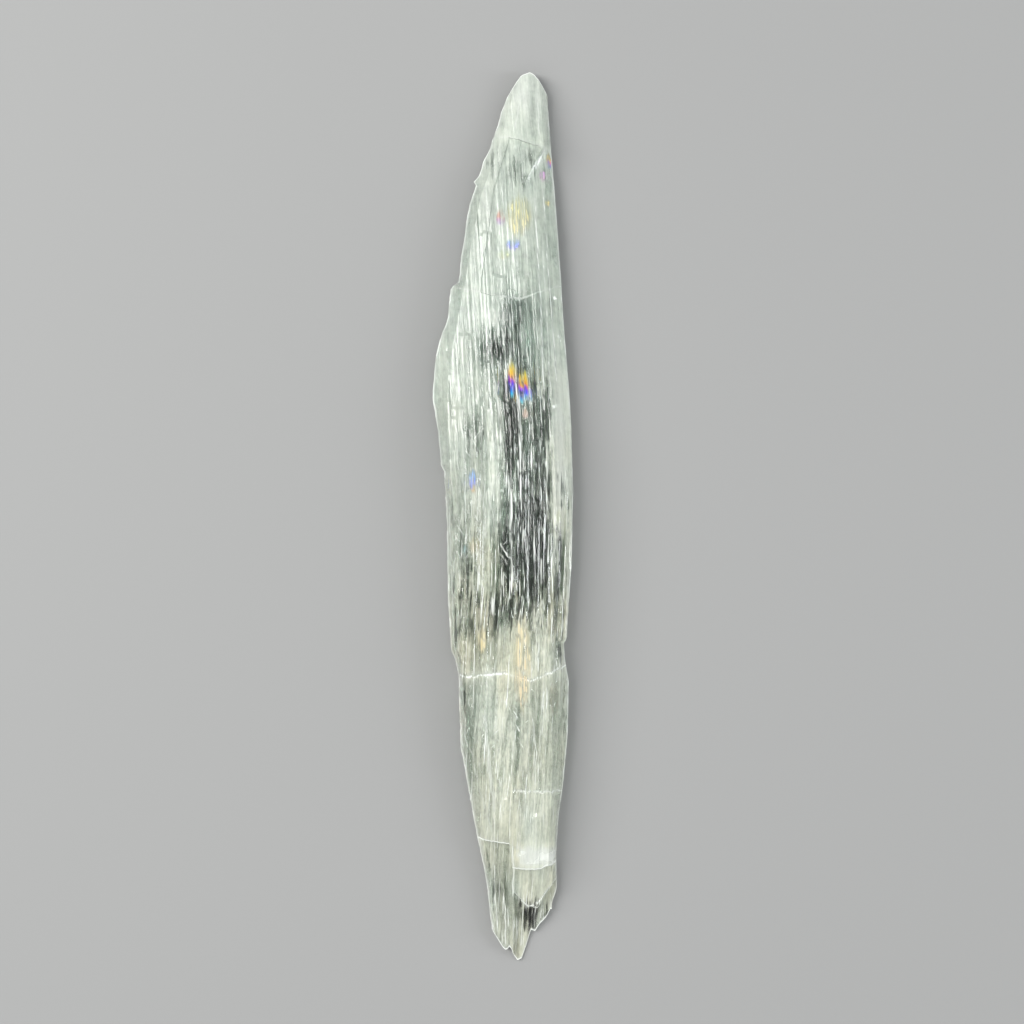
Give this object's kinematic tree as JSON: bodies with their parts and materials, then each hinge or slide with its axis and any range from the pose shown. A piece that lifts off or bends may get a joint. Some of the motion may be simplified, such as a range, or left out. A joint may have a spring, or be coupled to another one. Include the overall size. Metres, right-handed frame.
{
  "type": "hydroboracite crystal",
  "caption": "Long flat bladed clear-to-milky mineral crystal with lengthwise striations, a rounded tip and a stepped broken end, lying on its flat back.",
  "frame": {"origin": "centre of the bounding box at the level of the flat back that the crystal rests on", "axes": "+Y along the blade towards its rounded tip, +Z out of the broad front face, +X towards the straight side"},
  "size_m": [0.0144, 0.092, 0.0055],
  "materials": {
    "hydroboracite": "vitreous, striated, clear to milky with a faint green tint"
  },
  "bodies": {
    "root": {"hydroboracite_crystal": "hydroboracite"}
  },
  "joints": []
}
